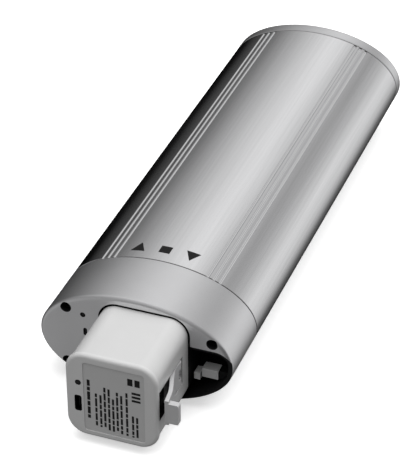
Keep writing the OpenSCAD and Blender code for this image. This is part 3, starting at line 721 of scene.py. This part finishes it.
def make_drive_cap():
    """Far end cap with the spindle's bore and the holes round it."""
    plate, bore_r = 4.0, 13
    cap = cap_body("drive_end_cap_shell", drive_y, drive_seam + gasket, plate, CAP_EDGE)
    inner, outer = drive_y - plate - 1, drive_y + 1
    cutters = [lathe("bore", (0, 0), [(bore_r, inner), (bore_r, outer)], 96)]
    for at in drive_screws():
        cutters.append(lathe("recess", at, [(RECESS_R, inner), (RECESS_R, outer)]))
    for at in insert_places():
        cutters.append(lathe("insert_hole", at, [(HOLE_R, inner), (HOLE_R, outer)]))
    for k in range(4):
        angle = math.pi / 2 * k
        at = (COVER_SCREW_RING * math.cos(angle), COVER_SCREW_RING * math.sin(angle))
        cutters.append(lathe("cover_screw_hole", at, [(HOLE_R, inner), (HOLE_R, outer)]))
    combine(cap, cutters)
    soften(cap, 0.28, angle=38)
    settle(cap, HOUSING, "silver_plastic", "drive_end_cap")


def socket_screw(name, at, y, way, head_r, head_h, shank_r, length):
    """Cylinder head screw with a hexagon socket; its head's outer face is at y."""
    chamfer, point = 0.25, 0.5
    profile = [(head_r - chamfer, y), (head_r, y - way * chamfer), (head_r, y - way * head_h),
               (shank_r, y - way * head_h), (shank_r, y - way * (head_h + length - point)),
               (shank_r * 0.6, y - way * (head_h + length))]
    screw = lathe(name, at, profile)
    low, high = sorted((y + way * 0.1, y - way * head_h * 0.6))
    socket = lathe("socket", at, [(head_r * 0.52, low), (head_r * 0.52, high)], 6)
    return combine(screw, [socket])


def make_screws():
    """The recessed screws that hold both end caps."""
    head_r, head_h, shank_r = 2.4, 2.6, 1.3
    front = [socket_screw("screw", at, front_y + 2.4, -1, head_r, head_h, shank_r, 40)
             for at in battery_screws()]
    piece = soften(join("battery_cap_screw_set", front), 0.08)
    settle(piece, HOUSING, "black_steel", "battery_cap_screws")
    rear = [socket_screw("screw", at, drive_y - 0.6, 1, head_r, head_h, shank_r, 18)
            for at in drive_screws()]
    piece = soften(join("drive_cap_screw_set", rear), 0.08)
    settle(piece, HOUSING, "black_steel", "drive_cap_screws")


def make_indicator():
    """Domed window of the status light, with a flange behind the cap's face."""
    y = front_y
    lens = lathe("status_light_window", LENS, [
        (0.5, y + 0.32), (0.95, y + 0.42), (1.3, y + 0.75), (1.3, y + 3.1), (2.2, y + 3.1),
        (2.2, y + 4.4), (1.3, y + 4.4), (1.3, y + 8.8)])
    soften(lens, 0.06)
    settle(lens, HOUSING, "smoked_lens", "status_lens")


def make_button():
    """Program button with a domed tip and a flange that keeps it in the cap."""
    low, high = node_box("program_button")
    width, height, corner = 1.7, 4.2, 0.84
    flange_x, flange_z = 2, 3.4
    rings = []
    for y, inset in ((0, 0.45), (0.15, 0.15), (0.45, 0), (high.y - low.y, 0)):
        size = (width - 2 * inset, height - 2 * inset)
        rings.append(rounded_ring(BUTTON, size, corner - inset, low.y + y, 8))
    stem = loft("program_button_cap", rings)
    flange = block("flange", (BUTTON[0] - flange_x, low.y + 3.4, BUTTON[1] - flange_z),
                   (BUTTON[0] + flange_x, low.y + 4.6, BUTTON[1] + flange_z))
    combine(stem, [flange], "UNION")
    soften(stem, 0.08)
    settle(stem, "program_button", "black_plastic", "program_button")


def wrapped_sign(outline, x_mid, y_mid, lift, thick):
    """Thin plate over a convex outline of (x, y) points that follows the oval's top."""
    across, tiny = 16, 1e-9
    bm = bmesh.new()
    xs = [p[0] for p in outline]
    rows = [[], [], [], []]
    for i in range(across + 1):
        x = min(xs) + (max(xs) - min(xs)) * i / across
        hits = []
        for (x0, y0), (x1, y1) in zip(outline, outline[1:] + outline[:1]):
            if abs(x1 - x0) > tiny and min(x0, x1) - tiny <= x <= max(x0, x1) + tiny:
                hits.append(y0 + (y1 - y0) * (x - x0) / (x1 - x0))
        low, high = min(hits), max(hits)
        if high - low < 0.05:             # a corner, given a little width
            low, high = low - 0.02, high + 0.02
        px = x + x_mid
        surface = half_h * math.sqrt(1 - (px / half_w) ** 2) + lift
        for row, (y, up) in zip(rows, ((low, 0), (high, 0), (high, thick), (low, thick))):
            row.append(bm.verts.new((px, y + y_mid, surface + up)))
    for i in range(across):
        for a, b in zip(rows, rows[1:] + rows[:1]):
            bm.faces.new((a[i], b[i], b[i + 1], a[i + 1]))
    bm.faces.new([row[0] for row in rows])
    bm.faces.new([row[-1] for row in reversed(rows)])
    return new_piece("sign", bm)


def make_direction_marks():
    """Generic open, stop and close signs printed on the top of the tube."""
    thick, lift = 0.02, -0.022
    x_mid, y_mid = -1.2, front_y + 45.5
    pitch, half = 13.6, 3.7
    signs = []
    for k, point in enumerate((1, 0, -1)):
        if point:
            outline = [(-half, -point * half), (half, -point * half), (0, point * half)]
        else:
            side = half * 0.78
            outline = [(-side, -side), (side, -side), (side, side), (-side, side)]
        signs.append(wrapped_sign(outline, x_mid + (k - 1) * pitch, y_mid, lift, thick))
    marks = soften(join("direction_marks", signs), 0)
    settle(marks, HOUSING, "seal_rubber", material="print_black")


# ---------- battery pack ----------

PORT = (-12.0, -5.2)                      # places on the pack's front as (x, z)
PORT_SIZE = (3.6, 9.2)
CHARGE_LIGHT = (-11.7, 7.1)
LABEL_CENTER, LABEL_SIZE = (6.3, -0.5), (30.8, 40)
LABEL_DEPTH = 0.35
PRINT = 0.03                              # thickness of the print on the label


def pack_ring(y, inset=0.0):
    """The pack's section at y, drawn in by inset."""
    return rounded_ring((pack_x, 0), (pack_w - 2 * inset, pack_h - 2 * inset), CORNER - inset, y, 24)


def make_pack_shell():
    """Light front half and black rear half, which meet in a fine seam at the housing's face; the rear half's
    black is painted shade, for the part of the pack inside the housing.

    The lever lies in a bay on the right; the bay's front part is black inside, painted shade.
    """
    wall, edge = 1.8, 0.3
    shrink = shell_low.x - cover_low.x    # the shell is a little smaller than the covers
    y0, y1, seam = shell_low.y, shell_high.y, front_y + 0.4
    shell = paint(loft("pack_shell_moulding", [
        pack_ring(y0, wall), pack_ring(y0, shrink + edge), pack_ring(y0 + edge, shrink),
        pack_ring(seam - edge, shrink), pack_ring(seam, shrink + edge), pack_ring(seam + edge, shrink),
        pack_ring(y1 - edge, shrink), pack_ring(y1, shrink + edge), pack_ring(y1, wall),
    ], loop=True), "pack_white", "black_plastic")
    # Faces behind the seam are black: painted shade on the pack inside the housing.
    for face in shell.data.polygons:
        face.material_index = int(face.center.y > seam * MM)
    side = pack_x + pack_w / 2
    bay_depth, bay_wall, bay_front = 3.75, 1.2, y0 + 15
    bay_end, half = pin_high.y + 2.2, pin_high.z - 1.0
    backing = block("backing", (side - 4.6, y0 + 0.01, -half - bay_wall),
                    (side - 1, bay_end + bay_wall, half + bay_wall))
    combine(shell, [backing], "UNION")
    # The front bay's walls are black: painted shade in the front of the lever's bay.
    front_bay_shade = block("front_bay_shade", (side - bay_depth, y0 - 1, -half), (side + 1, bay_front, half))
    rear_bay = block("rear_bay", (side - bay_depth, bay_front - 0.1, -half), (side + 1, bay_end, half))
    combine(shell, [dark(front_bay_shade, "pack_white"), rear_bay])
    soften(shell, 0.5, angle=30, segments=3)
    settle(shell, PACK, "pack_white", "pack_shell")


def make_front_cover():
    """The pack's front with its label panel, charge port and charge light."""
    radius, skin, wall = 1.9, 2.2, 1.9
    y0, y1 = cover_low.y, shell_low.y
    rings = [pack_ring(y0 + radius * (1 - math.cos(t)), radius * (1 - math.sin(t)))
             for t in quarter_turn(EDGE_STEPS)]
    rings += [pack_ring(y1), pack_ring(y1, wall), pack_ring(y0 + skin, wall)]
    names = ("pack_grey", "black_plastic", "label_grey")
    cover = paint(loft("pack_front_cover_moulding", rings), *names)
    panel = mark_faces(loft("panel", [
        rounded_ring(LABEL_CENTER, LABEL_SIZE, 1.5, y) for y in (y0 - 1, y0 + LABEL_DEPTH)]), 2, *names)
    port = loft("port", [rounded_ring(PORT, PORT_SIZE, 1.1, y) for y in (y0 - 1, y0 + 4)])
    light = lathe("light", CHARGE_LIGHT, [(1.5, y0 - 1), (1.5, y0 + 4)])
    # The walls of the port's and the charge light's holes are black: painted shade inside the holes.
    combine(cover, [panel, dark(port, "pack_grey"), dark(light, "pack_grey")])
    soften(cover, 0.22, angle=30)
    settle(cover, PACK, "pack_grey", "pack_front_cover")


def make_label_bars():
    """Rows of plain dashes and tiles in the label panel, standing in for print."""
    y = pack_front + LABEL_DEPTH
    # Each row runs down the label: its x, its width, its top and its bottom
    rows = [(-6.6, 1.5, 9.8, -13.0), (-2.9, 1.1, 2.6, -16.6), (-0.6, 1.1, 2.2, -17.0), (1.5, 1.1, 7.2, -17.6),
            (3.6, 1.1, 6.8, -17.8), (5.7, 1.1, 1.4, -18.0), (7.8, 1.1, 6.0, -18.2), (9.9, 1.1, 4.6, -18.4),
            (12.6, 1.1, 7.0, -18.6), (15.6, 1.1, -6.0, -18.8), (17.7, 1.1, -6.4, -18.8)]
    dashes, space, shortest = (3.6, 2.2, 5.0, 2.8, 4.2), 0.6, 0.8
    bars = []

    def bar(x, z, width, height):
        bars.append(block("bar", (x, y - PRINT, z), (x + width, y + 0.05, z + height)))

    for k, (x, width, top, bottom) in enumerate(rows):
        z, turn = top, k
        while z > bottom + shortest:
            end = max(bottom, z - dashes[turn % len(dashes)])
            bar(x - width / 2, end, width, z - end)
            z, turn = end - space, turn + 1
    for k in range(2):
        bar(13.2 + 3.6 * k, 11.8, 2.6, 4.0)
    for k in range(3):
        bar(15.2, 2.6 + 2.2 * k, 4.4, 1.3)
    label = soften(join("label_bars", bars), 0)
    settle(label, PACK, "pack_grey", material="print_black")


def make_charge_port():
    """Metal shell of the charge socket, its tongue and its contacts."""
    y, end = pack_front + 1.0, pack_front + 7.8
    outside, inside = ((3.5, 9.1), 1.05), ((2.9, 8.5), 0.8)
    shell = loft("charge_socket_shell", [
        rounded_ring(PORT, *outside, y), rounded_ring(PORT, *outside, end),
        rounded_ring(PORT, *inside, end), rounded_ring(PORT, *inside, y)], loop=True)
    back = loft("back", [rounded_ring(PORT, (2.95, 8.55), 0.8, t) for t in (end - 0.6, end)])
    tongue = loft("tongue", [rounded_ring(PORT, (0.7, 5.8), 0.3, t) for t in (y + 0.7, y + 6.4)])
    pads = [block("pad", (PORT[0] + 0.34, y + 1.0, PORT[1] - 2.5 + 0.5 * k),
                  (PORT[0] + 0.42, y + 4.0, PORT[1] - 2.25 + 0.5 * k)) for k in range(11)]
    socket = soften(join("charge_socket_port", [shell, back, tongue] + pads), 0.05)
    settle(socket, PACK, "zinc_steel", "charge_socket", material="black_steel")
    window = lathe("charge_light_window", CHARGE_LIGHT, [
        (0.6, pack_front + 0.15), (1.2, pack_front + 0.25), (1.45, pack_front + 0.5),
        (1.45, pack_front + 6.9)])
    soften(window, 0.05)
    settle(window, PACK, "smoked_lens", "charge_lens")


def curve_points(controls, steps):
    """Smooth curve through control points."""
    points = []
    for i in range(len(controls) - 1):
        p0 = Vector(controls[max(0, i - 1)])
        p1, p2 = Vector(controls[i]), Vector(controls[i + 1])
        p3 = Vector(controls[min(len(controls) - 1, i + 2)])
        for k in range(steps):
            t = k / steps
            points.append(0.5 * (2 * p1 + (p2 - p0) * t + (2 * p0 - 5 * p1 + 4 * p2 - p3) * t * t
                                 + (3 * p1 - p0 - 3 * p2 + p3) * t ** 3))
    points.append(Vector(controls[-1]))
    return points


def make_lever():
    """Bent strip from the pin to a thumb tab, with the hook on its lower half."""
    half, thick = 7.0, 0.95
    barrel_r, bore_r = 1.6, 0.84
    front = pack_front
    eye = Vector(((pin_low.x + pin_high.x) / 2, (pin_low.y + pin_high.y) / 2))
    path = [(eye.x + 0.5, front + 30.2), (26.7, front + 24.6), (28.6, front + 17.6),
            (31.1, front + 9.6), (32.25, front + 1.2)]
    center = curve_points(path, 6)
    left, right = [], []
    for i, point in enumerate(center):
        ahead = center[min(len(center) - 1, i + 1)] - center[max(0, i - 1)]
        side = Vector((-ahead.y, ahead.x)).normalized() * thick
        left.append(point + side)
        right.append(point - side)
    outline = [(p.x, p.y) for p in left + list(reversed(right))]
    arm = prism("release_lever_arm", outline, -half, half, axis="z")
    barrel = prism("barrel", circle_outline(eye, barrel_r), -half, half, axis="z")
    tab = loft("tab", [rounded_ring((35.4, 0), (5.6, 11.4), 0.9, y, 6) for y in (front + 1.0, front + 4.0)])
    hook = prism("hook", [(31, front + 12.4), (33.4, front + 12.4), (33.4, front + 13),
                          (30.2, front + 17.2), (29.4, front + 17.2)], -9.3, -5.5, axis="z")
    combine(arm, [barrel, tab, hook], "UNION")
    bore = prism("bore", circle_outline(eye, bore_r), -half - 1, half + 1, axis="z")
    window = block("window", (eye.x - 3, eye.y - 2.2, -3), (eye.x + 3, eye.y + 2.8, 3))
    combine(arm, [bore, window])
    soften(arm, 0.22, angle=32)
    settle(arm, "release_lever", "pack_white", "release_lever", material="lever_grey")


# ---------- drive end ----------

def make_spindle():
    """Stepped shaft: bearing length, round seat, flatted end and a thread for the end screw."""
    low, high = node_box("output_spindle")
    seat_r, journal_r = 6.0, high.x
    shoulder, seat_end, tip = -17.6, 5.0, high.y
    relief, chamfer, edge = 0.3, 0.8, 0.3
    end_r = seat_r - relief
    spindle = lathe("output_spindle_turned", (0, 0), [
        (seat_r, low.y), (seat_r, shoulder), (journal_r, shoulder), (journal_r, -edge), (journal_r - edge, 0),
        (seat_r, 0), (seat_r, seat_end - edge), (end_r, seat_end), (end_r, tip - chamfer),
        (end_r - chamfer, tip)], 96)
    flat = block("flat", (-10, seat_end, seat_r - 1.2), (10, tip + 1, 10))
    core_r, crest_r, mouth_r, pitch = 2.1, 2.45, 2.75, 0.8
    thread = [(mouth_r, tip + 0.5), (mouth_r, tip), (core_r, tip - 0.6)]
    for k in range(13):
        y = tip - 0.6 - k * pitch
        thread += [(core_r, y), (crest_r, y - pitch * 0.4), (crest_r, y - pitch * 0.5),
                   (core_r, y - pitch * 0.9)]
    thread.append((core_r, tip - 12))
    combine(spindle, [flat, lathe("thread", (0, 0), thread)])
    soften(spindle, 0.12)
    settle(spindle, "output", "zinc_steel", "output_spindle")


def make_bearings():
    """Two shielded ball bearings, the shields sunk between the rings."""
    low, high = node_box("output_bearings")
    width, bite, sunk = 4.8, 0.2, 0.35
    r_in, r_out = 7.04, high.x
    shield_in, shield_out = r_in + 1.1, r_out - 1.2
    parts = []
    for y in (low.y, high.y - width):
        end = y + width
        parts.append(ring_lathe("bearing", (0, 0), [
            (r_in, y + bite), (r_in + bite, y), (shield_in, y), (shield_in, y + sunk),
            (shield_out, y + sunk), (shield_out, y), (r_out - bite, y), (r_out, y + bite),
            (r_out, end - bite), (r_out - bite, end), (shield_out, end), (shield_out, end - sunk),
            (shield_in, end - sunk), (shield_in, end), (r_in + bite, end), (r_in, end - bite)]))
    piece = soften(join("output_bearing_pair", parts), 0)
    settle(piece, HOUSING, "bronze", "output_bearings", material="zinc_steel")


def make_inserts():
    """Brass inserts for the bracket's screws."""
    low, high = node_box("mounting_inserts")
    bore_r = 1.65
    profile = [(bore_r, low.y), (HOLE_R, low.y), (HOLE_R, high.y - 0.3), (2.5, high.y), (2.0, high.y),
               (bore_r, high.y - 0.4)]
    inserts = [ring_lathe("insert", at, profile, 32) for at in insert_places()]
    piece = soften(join("mounting_insert_set", inserts), 0.05)
    settle(piece, HOUSING, "contact_brass", "mounting_inserts")


# ---------- everything else follows its CAD shape ----------

def refine(name, body, slot, width):
    """Stands for a CAD node with the same shape, its edges finely rounded."""
    bm = bmesh.new()
    bm.from_mesh(frame["nodes"][name].data)
    bmesh.ops.remove_doubles(bm, verts=bm.verts, dist=1e-6)
    bmesh.ops.dissolve_limit(bm, angle_limit=math.radians(0.5), verts=bm.verts, edges=bm.edges)
    bmesh.ops.scale(bm, vec=(1 / MM, 1 / MM, 1 / MM), verts=bm.verts)
    piece = soften(new_piece(name + "_finish", bm), width)
    settle(piece, body, slot, name)


def refine_rest():
    """Finishes every CAD node that no hand-built piece stands for."""
    record = frame["record"]
    slots = {row["node"]: row["material_slot"] for row in record["subparts"]}
    bodies = {node: body for body, nodes in record["behaviour"]["bodies"].items() for node in nodes}
    fine = {"lever_spring", "antenna_wire", "motor_leads", "gearbox_screws", "contact_blades", "pack_contacts"}
    for name, node in sorted(frame["nodes"].items()):
        if node.hide_render:
            paint(node, slots[name])
        else:
            refine(name, bodies[name], slots[name], 0.04 if name in fine else 0.15)


# ---------- the whole scene ----------

make_camera()
make_world()
make_stage()
make_light("over", (0.5, 0.0, 2.1), (0, -0.15, 0), 2.4, 48)
make_light("front", (-0.3, -1.5, 1.5), (0, -0.3, 0), 1.0, 6)
bpy.context.scene.view_settings.view_transform = "Standard"

make_tube()
make_battery_cap()
make_drive_cap()
make_screws()
make_strike()
make_indicator()
make_button()
make_direction_marks()
make_pack_shell()
make_front_cover()
make_label_bars()
make_charge_port()
make_lever()
make_spindle()
make_bearings()
make_inserts()
refine_rest()
